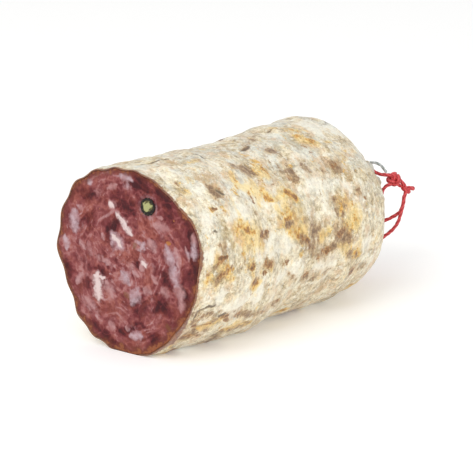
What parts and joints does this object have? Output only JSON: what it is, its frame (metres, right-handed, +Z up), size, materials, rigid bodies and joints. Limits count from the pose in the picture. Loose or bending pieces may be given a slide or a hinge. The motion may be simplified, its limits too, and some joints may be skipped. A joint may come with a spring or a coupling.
{
  "type": "cured sausage half",
  "caption": "Cut half of a dry-cured sausage in a mould-dusted casing, gathered and tied at one end, with a string loop to hang it by.",
  "frame": {"origin": "on the surface it lies on, below the middle of the sausage", "axes": "+X along the sausage, from the cut end to the tied end; +Z up"},
  "size_m": [0.13, 0.06, 0.0579],
  "materials": {
    "casing": "matt, dry, dusted with pale mould",
    "meat": "moist satin with paler fat",
    "peppercorn": "satin",
    "twine": "matt",
    "red_string": "satin"
  },
  "bodies": {
    "root": {"sausage": "casing", "peppercorn": "peppercorn", "neck_tie": "twine", "hanging_loop": "red_string"}
  },
  "joints": []
}
